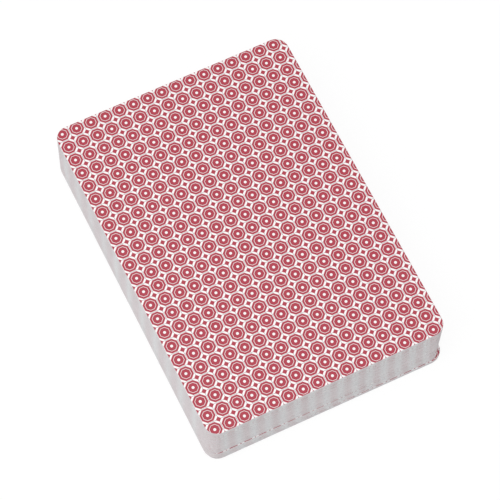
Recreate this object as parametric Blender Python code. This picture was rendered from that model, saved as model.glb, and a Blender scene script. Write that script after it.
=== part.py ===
"""A squared-up deck of playing cards, backs up: fifty-two suited cards and two jokers.

Metres, +Z up, +Y along the cards' long sides. The origin is on the underside of the
bottom card, at the middle of the deck's outline. Each card is its own object and can
slide out of the deck sideways, along X, at its own height.
"""

import math
import random

import bmesh
import bpy

MM = 0.001

# One card: poker size, on coated card stock
CARD_WIDTH = 63.0 * MM
CARD_LENGTH = 88.0 * MM
CARD_THICKNESS = 0.31 * MM
CORNER_RADIUS = 3.3 * MM
CORNER_SEGMENTS = 6

# The air that stays between two cards lying on each other
CARD_GAP = 0.025 * MM

# The deck's order, from the bottom card up
RANKS = (
    "ace", "two", "three", "four", "five", "six", "seven",
    "eight", "nine", "ten", "jack", "queen", "king",
)
SUITS = ("spades", "hearts", "clubs", "diamonds")
JOKERS = ("black_joker", "red_joker")

# How squarely it was stacked, in packets from the bottom up: the number of cards, then where
# the lowest and the highest of them stand, across and along the deck, with their turns,
# counterclockwise from above. The cards between them lean evenly from one to the other.
PACKETS = (
    (2, (0.71 * MM, -0.32 * MM, math.radians(-0.23)), (0.73 * MM, -0.34 * MM, math.radians(-0.22))),
    (4, (0.84 * MM, -0.52 * MM, math.radians(-0.15)), (0.86 * MM, -0.54 * MM, math.radians(-0.14))),
    (9, (0.02 * MM, -0.47 * MM, math.radians(0.06)), (0.00 * MM, -0.45 * MM, math.radians(0.08))),
    (39, (-0.09 * MM, -0.36 * MM, math.radians(-0.10)), (0.00 * MM, 0.00 * MM, math.radians(0.20))),
)

# How far one card strays from its even place, either way
STRAY_SHIFT = 0.02 * MM
STRAY_TURN = math.radians(0.01)
STRAY_SEED = 54

# Each side of a card: its material's name, sRGB colour and roughness
SIDES = (
    ("back_print", (0.77, 0.30, 0.35), 0.38),
    ("face_stock", (0.96, 0.96, 0.95), 0.38),
    ("cut_edge", (0.82, 0.81, 0.82), 0.75),
)
BACK, FACE, EDGE = range(3)

# A face is level where its normal's Z passes this
LEVEL_NORMAL = 0.9
SHARP_ANGLE = math.radians(40)


def linear(srgb):
    """The linear RGBA of an sRGB colour."""

    def channel(value):
        if value <= 0.04045:
            return value / 12.92
        return ((value + 0.055) / 1.055) ** 2.4

    return (*map(channel, srgb), 1.0)


def material(name, srgb, roughness):
    made = bpy.data.materials.new(name)
    made.use_nodes = True
    made.diffuse_color = linear(srgb)
    shader = made.node_tree.nodes["Principled BSDF"]
    shader.inputs["Base Color"].default_value = linear(srgb)
    shader.inputs["Roughness"].default_value = roughness
    shader.inputs["Metallic"].default_value = 0.0
    return made


def card_mesh():
    """A card: a thin box with its four upright edges rounded, back up."""
    shape = bmesh.new()
    bmesh.ops.create_cube(shape, size=1.0)
    bmesh.ops.scale(
        shape, vec=(CARD_WIDTH, CARD_LENGTH, CARD_THICKNESS), verts=shape.verts
    )
    corners = [
        edge
        for edge in shape.edges
        if edge.verts[0].co.xy == edge.verts[1].co.xy
    ]
    bmesh.ops.bevel(
        shape,
        geom=corners,
        offset=CORNER_RADIUS,
        segments=CORNER_SEGMENTS,
        profile=0.5,
        affect="EDGES",
    )
    shape.normal_update()
    for face in shape.faces:
        if face.normal.z > LEVEL_NORMAL:
            face.material_index = BACK
        elif face.normal.z < -LEVEL_NORMAL:
            face.material_index = FACE
        else:
            face.material_index = EDGE
            face.smooth = True
    mesh = bpy.data.meshes.new("card")
    shape.to_mesh(mesh)
    shape.free()
    mesh.set_sharp_from_angle(angle=SHARP_ANGLE)
    for side in SIDES:
        mesh.materials.append(material(*side))
    return mesh


def card_names():
    """Every card's name, from the bottom of the deck up."""
    suited = [f"{rank}_of_{suit}" for suit in SUITS for rank in RANKS]
    return [*suited, *JOKERS]


def card_places():
    """How far each card stands across and along the deck, and its turn."""
    stray = random.Random(STRAY_SEED)
    places = []
    for count, lowest, highest in PACKETS:
        for step in range(count):
            share = step / max(count - 1, 1)
            across, along, turn = (
                low + share * (high - low) for low, high in zip(lowest, highest)
            )
            places.append(
                (
                    across + stray.uniform(-STRAY_SHIFT, STRAY_SHIFT),
                    along + stray.uniform(-STRAY_SHIFT, STRAY_SHIFT),
                    turn + stray.uniform(-STRAY_TURN, STRAY_TURN),
                )
            )
    return places


def reach(turn):
    """How far a turned card reaches across and along from its middle."""
    straight_x = CARD_WIDTH / 2 - CORNER_RADIUS
    straight_y = CARD_LENGTH / 2 - CORNER_RADIUS
    cosine, sine = abs(math.cos(turn)), abs(math.sin(turn))
    return (
        straight_x * cosine + straight_y * sine + CORNER_RADIUS,
        straight_x * sine + straight_y * cosine + CORNER_RADIUS,
    )


def deck_middle(places):
    """The middle of the outline that all the cards fill together."""
    middle = []
    for axis in range(2):
        lows = [place[axis] - reach(place[2])[axis] for place in places]
        highs = [place[axis] + reach(place[2])[axis] for place in places]
        middle.append((min(lows) + max(highs)) / 2)
    return middle


def build():
    deck = bpy.data.collections.new("card_deck")
    bpy.context.scene.collection.children.link(deck)

    names, places = card_names(), card_places()
    middle_x, middle_y = deck_middle(places)
    stack = bpy.data.objects.new("stack", None)
    stack.location = (-middle_x, -middle_y, 0.0)
    deck.objects.link(stack)

    mesh = card_mesh()
    for level, (name, place) in enumerate(zip(names, places, strict=True)):
        across, along, turn = place
        card = bpy.data.objects.new(name, mesh)
        card.parent = stack
        card.location = (
            across,
            along,
            level * (CARD_THICKNESS + CARD_GAP) + CARD_THICKNESS / 2,
        )
        card.rotation_euler.z = turn
        deck.objects.link(card)


for leftover in list(bpy.data.objects):
    bpy.data.objects.remove(leftover)
build()
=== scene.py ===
"""A squared-up deck of playing cards, backs up, on a plain pale floor.

Each card is one closed mesh: a printed back, a printed face and a cut edge. The backs carry
a pattern of octagon tiles, worked out in the shader, and the faces are cut into printed and
bare regions.
"""

import math
import random

import bpy
import numpy as np
from mathutils import Matrix, Vector
from mathutils.geometry import delaunay_2d_cdt


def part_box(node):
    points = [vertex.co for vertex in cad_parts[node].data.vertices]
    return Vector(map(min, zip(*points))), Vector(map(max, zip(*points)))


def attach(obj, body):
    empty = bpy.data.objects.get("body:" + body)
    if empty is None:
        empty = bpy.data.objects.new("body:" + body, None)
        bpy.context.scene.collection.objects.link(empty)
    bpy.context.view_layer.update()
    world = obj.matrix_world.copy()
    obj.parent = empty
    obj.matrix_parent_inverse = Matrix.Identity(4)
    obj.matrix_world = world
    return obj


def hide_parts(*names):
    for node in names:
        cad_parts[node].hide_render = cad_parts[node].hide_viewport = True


MM = 0.001

# The photograph's view: turn, height and roll of the camera, its distance from the point it
# looks at, that point's place on the top card, and its focal length in sensor widths
VIEW_TURN = math.radians(-30.811)
VIEW_HEIGHT = math.radians(66.279)
VIEW_ROLL = math.radians(4.776)
VIEW_DISTANCE = 589.75 * MM
VIEW_TARGET = (-1.864 * MM, -5.108 * MM)
VIEW_FOCUS = 2450.9 / 500
SENSOR = 36.0

# How bright the studio's walls shine on the object
SKY_LIGHT = 0.42

# The lamps: name, place and size in metres, power in watts
LAMPS = (
    ("overhead", (-0.25, -0.12, 1.0), 1.0, 7.6),
    ("left_fill", (-1.0, -0.3, 0.5), 0.6, 1.6),
)

# The floor: half its side in metres, its grey, and how bright it glows for the camera alone,
# with the share of the glow in what the camera sees
FLOOR_HALF = 1.5
FLOOR_GREY = 0.85
FLOOR_GLOW = 1.04
FLOOR_GLOW_SHARE = 0.86

# Corners of a card this near to being level with its end lie on it
FLUSH = 0.001 * MM

# A card's cut edge, from the face up to the back: height as a share of the thickness, and
# how far the corner is rounded in
EDGE_PROFILE = (
    (0.00, 0.060 * MM),
    (0.10, 0.018 * MM),
    (0.26, 0.000 * MM),
    (0.76, 0.000 * MM),
    (0.91, 0.015 * MM),
    (1.00, 0.050 * MM),
)
CORNER_STEPS = 12
SHARP_ANGLE = math.radians(50)

# The back's octagon tiles, in millimetres on the print. A joint between two columns of tiles
# runs up the print's middle, and a row of tiles lies across it there.
PITCH = 3.86
TILE_REACH = 1.75
LINE_REACH = 1.20
LINE_WIDTH = 0.11
EYE_RADIUS = 0.36
STUD_REACH = 0.68
JOINT_WIDTH = 0.08
PRINT_BLUR = 0.02

# How far aside the print lies, both in millimetres: a card's depth under the top one, and the
# way from its middle to the print's
PRINT_DRIFT = (
    (0.0, -0.66), (1.8, -1.07), (4.8, -0.67), (7.8, -0.48), (10.8, -0.24), (13.0, 0.00),
    (18.0, 0.12),
)

# Inks and card stock, as sRGB
BACK_RED = (0.715, 0.245, 0.310)
BACK_MAROON = (0.480, 0.300, 0.370)
BACK_WHITE = (1.000, 0.985, 0.985)
FACE_WHITE = (0.965, 0.960, 0.950)
EDGE_PAPER = (0.894, 0.894, 0.899)
EDGE_INKED = (0.870, 0.841, 0.848)
INKS = {
    "none": FACE_WHITE,
    "red": (0.740, 0.060, 0.090),
    "black": (0.040, 0.040, 0.045),
    "blue": (0.100, 0.210, 0.480),
    "gold": (0.880, 0.660, 0.200),
}
SUIT_INKS = {"spades": "black", "clubs": "black", "hearts": "red", "diamonds": "red"}

# Unevenness of the print. Each noise is so many to the millimetre and has so much detail, and
# dims the colour to a share of it or tints it.
RED_SPECKS = (2.2, 4.0)
RED_SPECK_SHARE = 0.95
WHITE_WEAR = (0.09, 2.0)
WHITE_WEAR_SHARE = 0.985
FACE_SPECKS = (1.4, 3.0)
FACE_SPECK_TINT = (0.970, 0.965, 0.950)

# The varnish: its roughness, by how much and in what noise that varies, and the woven finish
# under it, with the threads' spacing in millimetres
VARNISH_ROUGHNESS = 0.42
VARNISH_VARIES = 0.05
VARNISH_PATCHES = (0.18, 3.0)
THREAD_PITCH = 0.42
WEAVE_STRENGTH = 0.12
WEAVE_HEIGHT = 0.004 * MM
CARD_IOR = 1.45

# The cut edge: how much darker the darkest card's is than the palest card's, the seed that
# the cards' tones are drawn with, and how far from a tile's middle its ink tinges the paper,
# in millimetres on the slant
EDGE_TONES = 0.07
TONE_SEED = 54
EDGE_INK_REACH = 1.80
EDGE_INK_BLUR = 0.50

# The cut edge's grain: its noise, how much of the light it takes and what there is without it,
# the roughness and the bump that it gives, and how far apart two cards' grains are read for
# their tones
EDGE_GRAIN_NOISE = (2.6, 3.0)
EDGE_GRAIN = 0.30
EDGE_BRIGHTEST = 1.12
EDGE_ROUGHNESS = (0.62, 0.80)
EDGE_BUMP = 0.25
EDGE_BUMP_HEIGHT = 0.02 * MM
GRAIN_APART = 1000.0

# On the long sides, farther than this from the print's middle, the tinge lies in wider
# streaks, as in the photograph: how far apart they are, where one of them lies along the
# card, how far each reaches, how much its rims wander, and the noise that they follow
LONG_SIDE = 29.0
LONG_SIDE_BLUR = 1.0
STREAK_PITCH = 7.28
STREAK_PLACE = 4.25
STREAK_REACH = 2.45
STREAK_BLUR = 1.50
STREAK_WANDER = 2.6
STREAK_WAVES = (0.24, 1.0)

# The corners are tinged all over, from where the places across and along add up to this
CORNER = 71.4
CORNER_BLUR = 0.8

# The printed faces, in millimetres from the middle of the card
INDEX_LETTERS = {
    "ace": "A", "two": "2", "three": "3", "four": "4", "five": "5", "six": "6",
    "seven": "7", "eight": "8", "nine": "9", "ten": "10", "jack": "J", "queen": "Q",
    "king": "K",
}
INDEX_PLACE = (-26.6, 36.6)
INDEX_HEIGHT = 6.0
INDEX_SQUEEZE = 0.82
INDEX_PIP_DROP = 6.2
INDEX_PIP = 4.2
PIP = 10.5
ACE_PIP = 24.0
PIP_COLUMN = 13.2
PIP_ROW = 27.5
PIP_PLACES = {
    "two": ((0, 1), (0, -1)),
    "three": ((0, 1), (0, 0), (0, -1)),
    "four": ((-1, 1), (1, 1), (-1, -1), (1, -1)),
    "five": ((-1, 1), (1, 1), (0, 0), (-1, -1), (1, -1)),
    "six": ((-1, 1), (1, 1), (-1, 0), (1, 0), (-1, -1), (1, -1)),
    "seven": ((-1, 1), (1, 1), (0, 1 / 2), (-1, 0), (1, 0), (-1, -1), (1, -1)),
    "eight": (
        (-1, 1), (1, 1), (0, 1 / 2), (-1, 0), (1, 0), (0, -1 / 2), (-1, -1), (1, -1),
    ),
    "nine": (
        (-1, 1), (1, 1), (-1, 1 / 3), (1, 1 / 3), (0, 0),
        (-1, -1 / 3), (1, -1 / 3), (-1, -1), (1, -1),
    ),
    "ten": (
        (-1, 1), (1, 1), (0, 2 / 3), (-1, 1 / 3), (1, 1 / 3),
        (-1, -1 / 3), (1, -1 / 3), (0, -2 / 3), (-1, -1), (1, -1),
    ),
}

# The courts: the frame's reach, its lines with their ink, inset and width, where no ink means
# the suit's own, the pip and the flower, the emblem with its sceptres, each crown's spikes and
# their height, and the sash across the middle
COURT_FRAME = (21.0, 34.5)
COURT_LINES = (("black", 0.0, 0.4), (None, 1.0, 0.2))
COURT_PIP = 8.0
COURT_PIP_PLACE = (-13.8, 27.5)
COURT_FLOWER = 7.0
EMBLEM_MIDDLE = 15.2
EMBLEM_HEIGHT = 19.0
EMBLEM_LEAN = math.radians(38)
SCEPTRE_HEIGHT = 1.3 * EMBLEM_HEIGHT
CROWNS = {"king": (5, 0.34), "queen": (3, 0.26)}
SASH_INSET = 1.8
SASH_HEIGHT = 6.0
SASH_LINE = 0.35
SASH_LINE_PLACE = 2.3
SASH_STUD = 2.9
SASH_STUDS = 6
SASH_END = 0.6

# The jokers: the big star's rays and waist, its height in ink and in gold, the place and the
# height of the star on it, and the ring of small stars with its reach, their height and number
JOKER_RAYS = (8, 0.62)
JOKER_HEIGHT = 30.0
JOKER_GOLD = 24.0
JOKER_STAR = (0.0, 0.3, 13.0)
JOKER_RING = (21.0, 24.0)
JOKER_RING_STAR = 4.5
JOKER_RING_STARS = 12

# Points of the print that lie nearer to each other than this, in millimetres, become one
SAME_POINT = 1e-5

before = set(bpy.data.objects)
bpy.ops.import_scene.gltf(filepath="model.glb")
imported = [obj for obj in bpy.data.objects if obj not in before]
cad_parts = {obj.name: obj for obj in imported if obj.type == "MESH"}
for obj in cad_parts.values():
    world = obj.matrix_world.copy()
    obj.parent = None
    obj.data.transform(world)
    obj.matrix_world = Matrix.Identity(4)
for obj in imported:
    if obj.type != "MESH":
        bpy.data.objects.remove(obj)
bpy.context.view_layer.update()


def linear(srgb):
    """The linear RGBA of an sRGB colour."""

    def channel(value):
        if value <= 0.04045:
            return value / 12.92
        return ((value + 0.055) / 1.055) ** 2.4

    return (*map(channel, srgb), 1.0)


class Card:
    """Where a card of the frame lies, and its size."""

    def __init__(self, name):
        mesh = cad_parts[name].data
        side = max(mesh.polygons, key=lambda face: face.normal.x)
        self.turn = math.atan2(side.normal.y, side.normal.x)
        low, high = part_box(name)
        self.middle = Vector(((low.x + high.x) / 2, (low.y + high.y) / 2, low.z))
        self.place = Matrix.Translation(self.middle) @ Matrix.Rotation(self.turn, 4, "Z")
        flat = self.place.inverted()
        corners = [flat @ vertex.co for vertex in mesh.vertices]
        self.width = 2 * max(corner.x for corner in corners)
        self.length = 2 * max(corner.y for corner in corners)
        self.thickness = high.z - low.z
        ends = [c.x for c in corners if c.y > self.length / 2 - FLUSH]
        self.radius = self.width / 2 - max(ends)

    def outline(self, inset):
        """The card's outline, drawn in by inset, counterclockwise from above."""
        across, along = self.width / 2 - self.radius, self.length / 2 - self.radius
        middles = ((across, along), (-across, along), (-across, -along), (across, -along))
        points = []
        for quarter, (x, y) in enumerate(middles):
            for step in range(CORNER_STEPS + 1):
                angle = (quarter + step / CORNER_STEPS) * math.pi / 2
                reach = self.radius - inset
                points.append((x + reach * math.cos(angle), y + reach * math.sin(angle)))
        return points


# Shapes for the faces. Each is a list of closed outlines, one unit high, about the origin.


def circle(x, y, radius, steps=20):
    return [
        (
            x + radius * math.cos(2 * math.pi * step / steps),
            y + radius * math.sin(2 * math.pi * step / steps),
        )
        for step in range(steps)
    ]


def bend(start, control, end, steps=7):
    """The points of a curve from start up to, but without, its end."""
    points = []
    for step in range(steps):
        t = step / steps
        weights = ((1 - t) ** 2, 2 * t * (1 - t), t * t)
        points.append(
            tuple(
                sum(w * p[axis] for w, p in zip(weights, (start, control, end)))
                for axis in range(2)
            )
        )
    return points


def diamond():
    corners = [(0, 0.5), (-0.38, 0), (0, -0.5), (0.38, 0)]
    outline = []
    for start, end in zip(corners, corners[1:] + corners[:1]):
        control = [0.42 * (s + e) for s, e in zip(start, end)]
        outline += bend(start, control, end)
    return [outline]


def heart():
    outline = []
    for step in range(36):
        t = 2 * math.pi * (step + 0.5) / 36
        x = 16 * math.sin(t) ** 3
        y = 13 * math.cos(t) - 5 * math.cos(2 * t) - 2 * math.cos(3 * t) - math.cos(4 * t)
        outline.append((x / 30, (y + 2.5) / 30))
    return [outline]


def stem():
    foot = bend((0.0, 0.1), (0.02, -0.38), (0.2, -0.5))
    foot += [(0.2, -0.5)]
    return foot + [(-x, y) for x, y in reversed(foot) if x > 0]


def spade():
    blade = [(x * 0.92, 0.06 - y * 0.86) for x, y in heart()[0]]
    return [blade, stem()]


def club():
    return [
        circle(0, 0.27, 0.225),
        circle(-0.25, -0.10, 0.225),
        circle(0.25, -0.10, 0.225),
        circle(0, 0.02, 0.12),
        stem(),
    ]


def star(points=5, waist=0.42):
    outline = []
    for step in range(2 * points):
        angle = math.pi / 2 + math.pi * step / points
        reach = 0.5 if step % 2 == 0 else 0.5 * waist
        outline.append((reach * math.cos(angle), reach * math.sin(angle)))
    return [outline]


SUIT_SHAPES = {
    "spades": spade, "hearts": heart, "clubs": club, "diamonds": diamond,
}


def crown(spikes, height):
    """A crown of that many spikes, with a ball on each."""
    zigzag = [(-0.42, -0.32), (0.42, -0.32)]
    balls = []
    for step in reversed(range(2 * spikes - 1)):
        x = -0.5 + step / (2 * spikes - 2)
        lift = height * (1 - 0.35 * abs(x))
        zigzag.append((x, lift if step % 2 == 0 else 0.0))
        if step % 2 == 0:
            balls.append(circle(x, lift + 0.04, 0.055, 12))
    return [zigzag, *balls]


def band():
    return [[(-0.42, -0.46), (0.42, -0.46), (0.42, -0.35), (-0.42, -0.35)]]


def jewels(count, y, radius):
    """A row of round jewels, as wide as a crown's band."""
    return [circle(0.34 * (2 * step / (count - 1) - 1), y, radius, 12) for step in range(count)]


def shield():
    side = [(0.36, 0.42)] + bend((0.36, 0.05), (0.36, -0.28), (0, -0.5), 8)
    return [side + [(0, -0.5)] + [(-x, y) for x, y in reversed(side)]]


def flower(petals=6):
    angles = [2 * math.pi * step / petals for step in range(petals)]
    return [circle(0.3 * math.sin(a), 0.3 * math.cos(a), 0.19, 12) for a in angles]


def sceptre(lean):
    """A rod that leans to the right by an angle, with a knob on its head and its foot."""
    x, y = 0.46 * math.sin(lean), 0.46 * math.cos(lean)
    aside, up = 0.018 * math.cos(lean), -0.018 * math.sin(lean)
    rod = [
        (x + aside, y + up), (x - aside, y - up), (-x - aside, -y - up), (-x + aside, -y + up),
    ]
    return [rod], [circle(x, y, 0.055, 14), circle(-x, -y, 0.035, 12)]


def rectangle(across, along):
    return [(-across, -along), (across, -along), (across, along), (-across, along)]


def letters(text):
    """The outlines of a short text in Blender's own font, one unit high, about the origin."""
    curve = bpy.data.curves.new("index_letters", "FONT")
    curve.body = text
    curve.resolution_u = 3
    writing = bpy.data.objects.new("index_letters", curve)
    bpy.context.scene.collection.objects.link(writing)
    shapes = bpy.context.evaluated_depsgraph_get()
    mesh = bpy.data.meshes.new_from_object(writing.evaluated_get(shapes))
    loops = boundary(mesh)
    bpy.data.objects.remove(writing)
    bpy.data.curves.remove(curve)
    bpy.data.meshes.remove(mesh)
    points = np.array([point for loop in loops for point in loop])
    low, high = points.min(0), points.max(0)
    middle, height = (low + high) / 2, high[1] - low[1]
    return [[tuple((np.array(point) - middle) / height) for point in loop] for loop in loops]


def boundary(mesh):
    """The closed outlines round a flat mesh's faces."""
    following = {}
    for face in mesh.polygons:
        corners = list(face.vertices)
        for start, end in zip(corners, corners[1:] + corners[:1]):
            following[start, end] = True
    open_edges = {s: e for s, e in following if (e, s) not in following}
    loops = []
    while open_edges:
        start, following_point = open_edges.popitem()
        loop = [start]
        while following_point != start:
            loop.append(following_point)
            following_point = open_edges.pop(following_point)
        loops.append([tuple(mesh.vertices[index].co.xy) for index in loop])
    return loops


class Print:
    """What is printed on one face: outlines with their ink, the later over the earlier."""

    def __init__(self):
        self.motifs = []

    def add(self, ink, outlines, x=0.0, y=0.0, height=1.0, squeeze=1.0, turned=False):
        """Each outline is a region of its own."""
        for outline in outlines:
            self.add_region(ink, [outline], x, y, height, squeeze, turned)

    def add_region(self, ink, outlines, x, y, height, squeeze=1.0, turned=False):
        """The outlines bound one region together, so an inner one is a hole."""
        way = -height if turned else height
        placed = [
            np.array([(x + way * squeeze * px, y + way * py) for px, py in outline])
            for outline in outlines
        ]
        self.motifs.append((ink, placed))

    def add_both_ways(self, ink, outlines, x, y, height, region=False, squeeze=1.0):
        """Upright at its place and upside down across the middle of the card."""
        adder = self.add_region if region else self.add
        adder(ink, outlines, x, y, height, squeeze)
        adder(ink, outlines, -x, -y, height, squeeze, turned=True)

    def ink_at(self, points):
        """The ink on each point, where later motifs cover earlier ones."""
        inks = np.full(len(points), "none", dtype=object)
        for ink, outlines in self.motifs:
            inside = np.zeros(len(points), bool)
            for outline in outlines:
                start, end = outline, np.roll(outline, -1, axis=0)
                above = start[None, :, 1] > points[:, None, 1]
                crosses = above != (end[None, :, 1] > points[:, None, 1])
                rise = end[:, 1] - start[:, 1]
                rise = np.where(rise == 0, 1.0, rise)
                share = (points[:, None, 1] - start[None, :, 1]) / rise[None, :]
                where = start[None, :, 0] + share * (end - start)[None, :, 0]
                inside ^= (crosses & (points[:, None, 0] < where)).sum(1) % 2 == 1
            inks[inside] = ink
        return inks


LETTER_SHAPES = {rank: letters(text) for rank, text in INDEX_LETTERS.items()}


def add_index(face, ink, shape, rank=None):
    """The rank and a small pip in two opposite corners."""
    x, y = INDEX_PLACE
    if rank:
        face.add_both_ways(
            ink, LETTER_SHAPES[rank], x, y, INDEX_HEIGHT, region=True, squeeze=INDEX_SQUEEZE
        )
        y -= INDEX_PIP_DROP
    face.add_both_ways(ink, shape, x, y, INDEX_PIP)


def shield_layers(pip):
    """The jack's emblem, from the bottom layer up: each layer's ink, its outlines, how far it
    is raised and its share of the emblem's height."""
    return (
        ("black", shield(), 0.0, 1.0),
        ("gold", shield(), 0.0, 0.94),
        ("blue", shield(), 0.0, 0.78),
        ("none", pip, 0.6, 0.38),
    )


def crown_layers(ink, spikes, lift):
    """The same for the king's and the queen's."""
    return (
        ("black", crown(spikes, lift), 0.0, 1.06),
        ("gold", crown(spikes, lift), 0.0, 0.96),
        (ink, band(), 0.0, 1.0),
        ("gold", jewels(spikes + 2, -0.405, 0.032), 0.0, 1.0),
        ("blue", jewels(spikes, -0.2, 0.05), 0.0, 1.0),
    )


def add_court(face, rank, suit, ink):
    """A framed emblem for each court rank, drawn both ways up."""
    across, along = COURT_FRAME
    for line_ink, inset, line in COURT_LINES:
        outer = rectangle(across - inset, along - inset)
        inner = rectangle(across - inset - line, along - inset - line)
        face.add_region(line_ink or ink, [outer, inner], 0, 0, 1)

    shape = SUIT_SHAPES[suit]()
    x, y = COURT_PIP_PLACE
    face.add_both_ways(ink, shape, x, y, COURT_PIP)
    face.add_both_ways("blue", flower(), -x, y, COURT_FLOWER)
    face.add_both_ways("gold", [circle(0, 0, 0.17)], -x, y, COURT_FLOWER)

    for lean in (EMBLEM_LEAN, -EMBLEM_LEAN):
        rod, knobs = sceptre(lean)
        face.add_both_ways("black", rod, 0, EMBLEM_MIDDLE, SCEPTRE_HEIGHT)
        face.add_both_ways(ink, knobs, 0, EMBLEM_MIDDLE, SCEPTRE_HEIGHT)
    if rank == "jack":
        emblem = shield_layers(shape)
    else:
        emblem = crown_layers(ink, *CROWNS[rank])
    for layer_ink, outlines, rise, share in emblem:
        y, height = EMBLEM_MIDDLE + rise, share * EMBLEM_HEIGHT
        face.add_both_ways(layer_ink, outlines, 0, y, height)

    half = across - SASH_INSET
    face.add("blue", [rectangle(half, SASH_HEIGHT / 2)])
    for y in (-SASH_LINE_PLACE, SASH_LINE_PLACE):
        face.add("gold", [rectangle(half, SASH_LINE / 2)], 0, y)
    for step in range(-SASH_STUDS, SASH_STUDS + 1):
        stud_ink = "gold" if step % 2 else "none"
        x = half * step / (SASH_STUDS + SASH_END)
        face.add(stud_ink, diamond(), x, 0, SASH_STUD)


def add_joker(face, ink):
    """A large star within a ring of small ones."""
    rays = star(*JOKER_RAYS)
    face.add(ink, rays, 0, 0, JOKER_HEIGHT)
    face.add("gold", rays, 0, 0, JOKER_GOLD)
    face.add(ink, star(), *JOKER_STAR)
    across, along = JOKER_RING
    for step in range(JOKER_RING_STARS):
        angle = 2 * math.pi * step / JOKER_RING_STARS
        x, y = across * math.sin(angle), along * math.cos(angle)
        face.add(ink, star(), x, y, JOKER_RING_STAR)


def face_print(name):
    """Everything printed on a card's face."""
    face = Print()
    if name.endswith("joker"):
        ink = name.split("_")[0]
        add_joker(face, ink)
        add_index(face, ink, star())
        return face
    rank, suit = name.split("_of_")
    ink, shape = SUIT_INKS[suit], SUIT_SHAPES[suit]()
    add_index(face, ink, shape, rank)
    if rank == "ace":
        face.add(ink, shape, 0, 0, ACE_PIP)
    elif rank in PIP_PLACES:
        for column, row in PIP_PLACES[rank]:
            x, y = column * PIP_COLUMN, row * PIP_ROW
            face.add(ink, shape, x, y, PIP, turned=row < 0)
    else:
        add_court(face, rank, suit, ink)
    return face


def printed_face(outline, face):
    """The flat face cut along what is printed on it: points, triangles and their inks.
    The card's outline comes first among the points."""
    points = [Vector((x / MM, y / MM)) for x, y in outline]
    edges = [(i, (i + 1) % len(points)) for i in range(len(points))]
    for _, outlines in face.motifs:
        for shape in outlines:
            first = len(points)
            points += [Vector(point) for point in shape]
            edges += [
                (first + i, first + (i + 1) % len(shape)) for i in range(len(shape))
            ]
    cut, _, triangles, sources, _, _ = delaunay_2d_cdt(points, edges, [], 0, SAME_POINT)
    order = {}
    for index, source in enumerate(sources):
        for point in source:
            if point < len(outline):
                order[point] = index
    rest = [index for index in range(len(cut)) if index not in set(order.values())]
    order = [order[point] for point in range(len(outline))] + rest
    new = {old: index for index, old in enumerate(order)}
    triangles = [[new[index] for index in triangle] for triangle in triangles]
    placed = [(cut[index].x * MM, cut[index].y * MM) for index in order]
    middles = np.array([
        np.mean([cut[order[index]] for index in triangle], axis=0)
        for triangle in triangles
    ])
    return placed, triangles, face.ink_at(middles)


def card_mesh(name, card, tone, drift, materials):
    """One closed card, face down: its printed face, cut edge and printed back."""
    rings = [card.outline(inset) for _, inset in EDGE_PROFILE]
    heights = [share * card.thickness for share, _ in EDGE_PROFILE]
    mirrored = [(-x, y) for x, y in rings[0]]
    flat, triangles, inks = printed_face(mirrored, face_print(name))
    points = [(-x, y, 0.0) for x, y in flat]
    faces = [list(triangle) for triangle in triangles]
    slots = [FACE] * len(faces)

    count = len(rings[0])
    below = list(range(count))
    for level in range(1, len(rings)):
        first = len(points)
        points += [(x, y, heights[level]) for x, y in rings[level]]
        above = list(range(first, first + count))
        for i in range(count):
            j = (i + 1) % count
            faces.append([below[i], below[j], above[j], above[i]])
        slots += [EDGE] * count
        below = above
    faces.append(below)
    slots.append(BACK)

    mesh = bpy.data.meshes.new(f"card_{name}")
    mesh.from_pydata(points, [], faces)
    mesh.polygons.foreach_set("material_index", slots)
    for material in materials:
        mesh.materials.append(material)
    colours = [linear(INKS[ink]) for ink in inks]
    colours += [linear(INKS["none"])] * (len(faces) - len(colours))
    ink_colour = mesh.attributes.new("ink", "FLOAT_COLOR", "FACE")
    ink_colour.data.foreach_set("color", np.array(colours, np.float32).ravel())
    tones = mesh.attributes.new("tone", "FLOAT", "FACE")
    tones.data.foreach_set("value", np.full(len(faces), tone, np.float32))
    add_print_map(mesh, drift)
    add_bake_map(mesh, card, count, len(triangles))
    mesh.set_sharp_from_angle(angle=SHARP_ANGLE)
    mesh.polygons.foreach_set("use_smooth", [slot == EDGE for slot in slots])
    return mesh


def add_print_map(mesh, drift):
    """Millimetres across and along the print, for the shaders."""
    layer = mesh.uv_layers.new(name="print")
    corners = np.array([v.co.xy for v in mesh.vertices], np.float32) / MM
    corners[:, 0] -= drift
    used = np.empty(len(mesh.loops), np.int32)
    mesh.loops.foreach_get("vertex_index", used)
    layer.data.foreach_set("uv", corners[used].ravel())


def add_bake_map(mesh, card, count, face_triangles):
    """The back and the face side by side, and the cut edge as four strips above them."""
    margin = 1.0 * MM
    strip_gap = 3.0 * MM
    stretch = 4.0
    sheet = 2 * (card.width + 2 * margin)
    layer = mesh.uv_layers.new(name="OFBake")
    bands = len(EDGE_PROFILE) - 1
    ring = card.outline(0.0)
    lengths = [math.dist(ring[i], ring[(i + 1) % count]) for i in range(count)]
    side_points = CORNER_STEPS + 1
    for face in mesh.polygons:
        step = face.index - face_triangles
        flat = step < 0 or step >= bands * count
        for loop in face.loop_indices:
            point = mesh.vertices[mesh.loops[loop].vertex_index].co
            if flat:
                shift = margin if step >= 0 else 3 * margin + card.width
                u = shift + card.width / 2 + (point.x if step >= 0 else -point.x)
                v = margin + card.length / 2 + point.y
            else:
                band, segment = divmod(step, count)
                side = segment // side_points
                begins = sum(lengths[side * side_points:segment])
                corner = loop - face.loop_start
                u = margin + begins + (lengths[segment] if corner in (1, 2) else 0)
                rise = band + (corner in (2, 3))
                v = card.length + 3 * margin + side * strip_gap
                v += stretch * rise * card.thickness / bands
            layer.data[loop].uv = (u / sheet, v / sheet)


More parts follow.
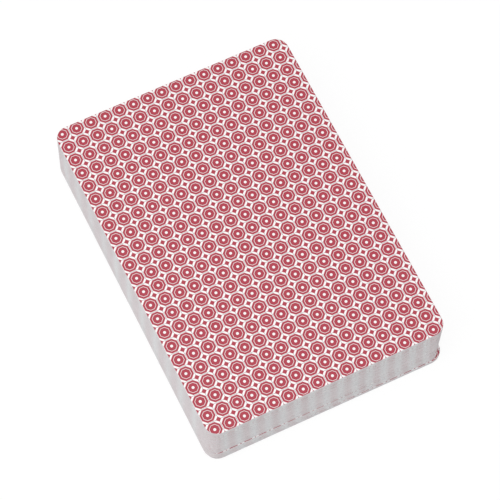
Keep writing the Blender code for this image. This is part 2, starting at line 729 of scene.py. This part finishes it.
class Graph:
    """A material's nodes, added one at a time."""

    def __init__(self, name):
        self.material = bpy.data.materials.new(name)
        self.material.use_nodes = True
        self.tree = self.material.node_tree
        self.shader = self.tree.nodes["Principled BSDF"]

    def node(self, kind, inputs=None, **settings):
        made = self.tree.nodes.new(kind)
        for setting, value in settings.items():
            setattr(made, setting, value)
        for socket, value in (inputs or {}).items():
            self.feed(made.inputs[socket], value)
        return made

    def feed(self, socket, value):
        if isinstance(value, bpy.types.NodeSocket):
            self.tree.links.new(value, socket)
        else:
            socket.default_value = value

    def math(self, operation, *values):
        inputs = dict(enumerate(values))
        return self.node("ShaderNodeMath", inputs, operation=operation).outputs[0]

    def inside(self, value, limit, blur=PRINT_BLUR):
        """1 where the value is under the limit, 0 past it, with a soft step."""
        inputs = {"Value": value, "From Min": limit + blur, "From Max": limit - blur}
        return self.node("ShaderNodeMapRange", inputs, clamp=True).outputs[0]

    def spread(self, value, low, high):
        """A value from 0 to 1, carried to between low and high."""
        inputs = {"Value": value, "To Min": low, "To Max": high}
        return self.node("ShaderNodeMapRange", inputs, clamp=True).outputs[0]

    def mix(self, share, first, second, blend="MIX"):
        inputs = {"Factor": share, 6: first, 7: second}
        made = self.node(
            "ShaderNodeMix", inputs, data_type="RGBA", blend_type=blend, clamp_factor=True
        )
        return made.outputs[2]

    def noise(self, place, scale, detail):
        inputs = {"Vector": place, "Scale": scale, "Detail": detail}
        return self.node("ShaderNodeTexNoise", inputs).outputs["Fac"]

    def print_place(self):
        return self.node("ShaderNodeUVMap", uv_map="print").outputs["UV"]

    def bump(self, height, strength, distance):
        inputs = {"Height": height, "Strength": strength, "Distance": distance}
        bumped = self.node("ShaderNodeBump", inputs).outputs["Normal"]
        self.feed(self.shader.inputs["Normal"], bumped)


def from_tile_middle(graph, place):
    """How far a place on the back is from the nearest tile's middle: across, along, and on
    the slant between them."""
    split = graph.node("ShaderNodeSeparateXYZ", {0: place})
    from_line = graph.math("PINGPONG", split.outputs["X"], PITCH / 2)
    across = graph.math("SUBTRACT", PITCH / 2, from_line)
    along = graph.math("PINGPONG", split.outputs["Y"], PITCH / 2)
    slanted = graph.math("MULTIPLY", graph.math("ADD", across, along), math.sqrt(0.5))
    return across, along, slanted


def tile_inks(graph, place):
    """Two masks of the back's octagon tiles: the red print, and the joints between tiles."""
    across, along, slanted = from_tile_middle(graph, place)
    from_line_x = graph.math("SUBTRACT", PITCH / 2, across)
    from_line_y = graph.math("SUBTRACT", PITCH / 2, along)
    reach = graph.math("MAXIMUM", graph.math("MAXIMUM", across, along), slanted)
    tile = graph.inside(reach, TILE_REACH)
    from_line = graph.math("ABSOLUTE", graph.math("SUBTRACT", reach, LINE_REACH))
    off_line = graph.math("SUBTRACT", 1.0, graph.inside(from_line, LINE_WIDTH / 2))
    squares = (graph.math("MULTIPLY", value, value) for value in (across, along))
    radius = graph.math("SQRT", graph.math("ADD", *squares))
    off_eye = graph.math("SUBTRACT", 1.0, graph.inside(radius, EYE_RADIUS))
    stud = graph.inside(graph.math("ADD", from_line_x, from_line_y), STUD_REACH)
    tile = graph.math("MULTIPLY", graph.math("MULTIPLY", tile, off_line), off_eye)
    to_line = graph.math("MINIMUM", from_line_x, from_line_y)
    return graph.math("MAXIMUM", tile, stud), graph.inside(to_line, JOINT_WIDTH / 2)


def dimmed(srgb, share):
    return linear([share * channel for channel in srgb])


def varnish(graph, place):
    """A satin varnish over a fine woven finish, with faint uneven patches."""
    split = graph.node("ShaderNodeSeparateXYZ", {0: place})
    rate = 2 * math.pi / THREAD_PITCH
    threads = [
        graph.math("SINE", graph.math("MULTIPLY", split.outputs[axis], rate)) for axis in "XY"
    ]
    graph.bump(graph.math("MULTIPLY", *threads), WEAVE_STRENGTH, WEAVE_HEIGHT)
    patches = graph.noise(place, *VARNISH_PATCHES)
    smoothest = VARNISH_ROUGHNESS - VARNISH_VARIES
    roughest = VARNISH_ROUGHNESS + VARNISH_VARIES
    rough = graph.spread(patches, smoothest, roughest)
    graph.feed(graph.shader.inputs["Roughness"], rough)


def back_material():
    """The octagon tiles in red on white, with maroon joints between them."""
    graph = Graph("card_back")
    place = graph.print_place()
    red_ink, joint_ink = tile_inks(graph, place)
    specks = graph.noise(place, *RED_SPECKS)
    wear = graph.noise(place, *WHITE_WEAR)
    red = graph.mix(specks, linear(BACK_RED), dimmed(BACK_RED, RED_SPECK_SHARE))
    stock = graph.mix(wear, linear(BACK_WHITE), dimmed(BACK_WHITE, WHITE_WEAR_SHARE))
    ground = graph.mix(joint_ink, stock, linear(BACK_MAROON))
    graph.feed(graph.shader.inputs["Base Color"], graph.mix(red_ink, ground, red))
    varnish(graph, place)
    return graph.material


def face_material():
    """The inks that the face's regions carry, over faint specks."""
    graph = Graph("card_face")
    place = graph.print_place()
    ink = graph.node("ShaderNodeAttribute", attribute_name="ink").outputs["Color"]
    specks = graph.noise(place, *FACE_SPECKS)
    colour = graph.mix(specks, ink, linear(FACE_SPECK_TINT), "MULTIPLY")
    graph.feed(graph.shader.inputs["Base Color"], colour)
    varnish(graph, place)
    return graph.material


def edge_tinge(graph, place):
    """How strongly the back's ink tinges a place on the cut edge, from 0 to 1: by the tiles
    on the short sides, in streaks on the long ones, and fully on the corners."""
    slanted = from_tile_middle(graph, place)[2]
    tiles = graph.inside(slanted, EDGE_INK_REACH, EDGE_INK_BLUR)

    x, y, _ = graph.node("ShaderNodeSeparateXYZ", {0: place}).outputs
    from_streak = graph.math("SUBTRACT", y, STREAK_PLACE)
    from_streak = graph.math("PINGPONG", from_streak, STREAK_PITCH / 2)
    waves = graph.math("SUBTRACT", graph.noise(place, *STREAK_WAVES), 0.5)
    wander = graph.math("MULTIPLY", waves, STREAK_WANDER)
    from_streak = graph.math("ADD", from_streak, wander)
    streaks = graph.inside(from_streak, STREAK_REACH, STREAK_BLUR)

    across, along = graph.math("ABSOLUTE", x), graph.math("ABSOLUTE", y)
    short_side = graph.inside(across, LONG_SIDE, LONG_SIDE_BLUR)
    more = graph.math("MULTIPLY", graph.math("SUBTRACT", tiles, streaks), short_side)
    sides = graph.math("ADD", streaks, more)
    off_corners = graph.inside(graph.math("ADD", across, along), CORNER, CORNER_BLUR)
    return graph.math("MAXIMUM", sides, graph.math("SUBTRACT", 1.0, off_corners))


def edge_material():
    """Cut card stock, tinged where the back's ink was cut through. Each card has its own tone
    and its own fine grain."""
    graph = Graph("card_cut_edge")
    place = graph.print_place()
    x, y, _ = graph.node("ShaderNodeSeparateXYZ", {0: place}).outputs
    tone = graph.node("ShaderNodeAttribute", attribute_name="tone").outputs["Fac"]
    apart = graph.math("MULTIPLY", tone, GRAIN_APART)
    own_place = graph.node("ShaderNodeCombineXYZ", {0: x, 1: y, 2: apart}).outputs[0]
    grain = graph.noise(own_place, *EDGE_GRAIN_NOISE)

    tinge = edge_tinge(graph, place)
    paper = graph.mix(tinge, linear(EDGE_PAPER), linear(EDGE_INKED))
    taken = graph.math("MULTIPLY", grain, EDGE_GRAIN)
    shade = graph.math("SUBTRACT", EDGE_BRIGHTEST, taken)
    shade = graph.math("SUBTRACT", shade, tone)
    grey = graph.node("ShaderNodeCombineXYZ", {0: shade, 1: shade, 2: shade}).outputs[0]
    graph.feed(graph.shader.inputs["Base Color"], graph.mix(1.0, paper, grey, "MULTIPLY"))
    graph.feed(graph.shader.inputs["Roughness"], graph.spread(grain, *EDGE_ROUGHNESS))
    graph.bump(grain, EDGE_BUMP, EDGE_BUMP_HEIGHT)
    return graph.material


BACK, FACE, EDGE = range(3)
MATERIALS = (back_material(), face_material(), edge_material())
for finish in MATERIALS:
    finish.node_tree.nodes["Principled BSDF"].inputs["IOR"].default_value = CARD_IOR

cards = {name: Card(name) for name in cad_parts}
from_top = sorted(cards, key=lambda name: -cards[name].middle.z)
tones = random.Random(TONE_SEED)
for name in from_top:
    depth = (cards[from_top[0]].middle.z - cards[name].middle.z) / MM
    drift = np.interp(depth, *zip(*PRINT_DRIFT))
    tone = tones.uniform(0.0, EDGE_TONES)
    mesh = card_mesh(name, cards[name], tone, drift, MATERIALS)
    piece = bpy.data.objects.new(f"card_{name}", mesh)
    bpy.context.scene.collection.objects.link(piece)
    piece.matrix_world = cards[name].place
    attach(piece, name)
    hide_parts(name)


def add_floor():
    """A plain pale floor, white to the camera apart from the object's soft shadow."""
    corners = [(x, y, 0.0) for x, y in rectangle(FLOOR_HALF, FLOOR_HALF)]
    mesh = bpy.data.meshes.new("floor")
    mesh.from_pydata(corners, [], [(0, 1, 2, 3)])
    floor = bpy.data.objects.new("floor", mesh)
    bpy.context.scene.collection.objects.link(floor)
    graph = Graph("floor")
    nodes, links = graph.tree.nodes, graph.tree.links
    nodes.remove(graph.shader)
    rays = graph.node("ShaderNodeLightPath").outputs
    seen = graph.math("MAXIMUM", rays["Is Camera Ray"], rays["Is Glossy Ray"])
    seen = graph.math("MAXIMUM", seen, rays["Is Transmission Ray"])
    grey, white = (FLOOR_GREY, FLOOR_GREY, FLOOR_GREY, 1), (1, 1, 1, 1)
    matt = graph.node("ShaderNodeBsdfDiffuse", {"Color": grey})
    glow = graph.node("ShaderNodeEmission", {"Color": white, "Strength": FLOOR_GLOW})
    share = graph.math("MULTIPLY", seen, FLOOR_GLOW_SHARE)
    both = graph.node("ShaderNodeMixShader", {0: share})
    links.new(matt.outputs[0], both.inputs[1])
    links.new(glow.outputs[0], both.inputs[2])
    links.new(both.outputs[0], nodes["Material Output"].inputs["Surface"])
    mesh.materials.append(graph.material)


def add_lights():
    """Pale walls all round, which the camera sees as white, and the lamps."""
    world = bpy.data.worlds.new("studio")
    bpy.context.scene.world = world
    world.use_nodes = True
    nodes, links = world.node_tree.nodes, world.node_tree.links
    rays = nodes.new("ShaderNodeLightPath")
    seen = nodes.new("ShaderNodeMath")
    seen.operation = "MAXIMUM"
    links.new(rays.outputs["Is Camera Ray"], seen.inputs[0])
    links.new(rays.outputs["Is Transmission Ray"], seen.inputs[1])
    strength = nodes.new("ShaderNodeMapRange")
    strength.inputs["To Min"].default_value = SKY_LIGHT
    strength.inputs["To Max"].default_value = 1.0
    links.new(seen.outputs[0], strength.inputs["Value"])
    sky = nodes["Background"]
    sky.inputs["Color"].default_value = (1, 1, 1, 1)
    links.new(strength.outputs[0], sky.inputs["Strength"])
    for name, place, size, power in LAMPS:
        lamp = bpy.data.lights.new(name, "AREA")
        lamp.shape = "SQUARE"
        lamp.size = size
        lamp.energy = power
        holder = bpy.data.objects.new(name, lamp)
        bpy.context.scene.collection.objects.link(holder)
        holder.location = place
        holder.rotation_euler = Vector(place).to_track_quat("Z", "Y").to_euler()


def add_camera():
    """The photograph's view, placed from the top card."""
    top = cards[from_top[0]]
    turn = VIEW_TURN + top.turn
    back = Vector((
        math.sin(turn) * math.cos(VIEW_HEIGHT),
        -math.cos(turn) * math.cos(VIEW_HEIGHT),
        math.sin(VIEW_HEIGHT),
    ))
    level_right = Vector((math.cos(turn), math.sin(turn), 0.0))
    level_up = back.cross(level_right)
    right = math.cos(VIEW_ROLL) * level_right + math.sin(VIEW_ROLL) * level_up
    up = back.cross(right)
    target = top.place @ Vector((*VIEW_TARGET, top.thickness))
    place = Matrix((right, up, back)).transposed().to_4x4()
    place.translation = target + VIEW_DISTANCE * back

    view = bpy.data.cameras.new("camera")
    view.sensor_width = SENSOR
    view.lens = VIEW_FOCUS * SENSOR
    camera = bpy.data.objects.new("camera", view)
    bpy.context.scene.collection.objects.link(camera)
    camera.matrix_world = place
    bpy.context.scene.camera = camera


add_floor()
add_lights()
add_camera()
bpy.context.scene.view_settings.view_transform = "Standard"
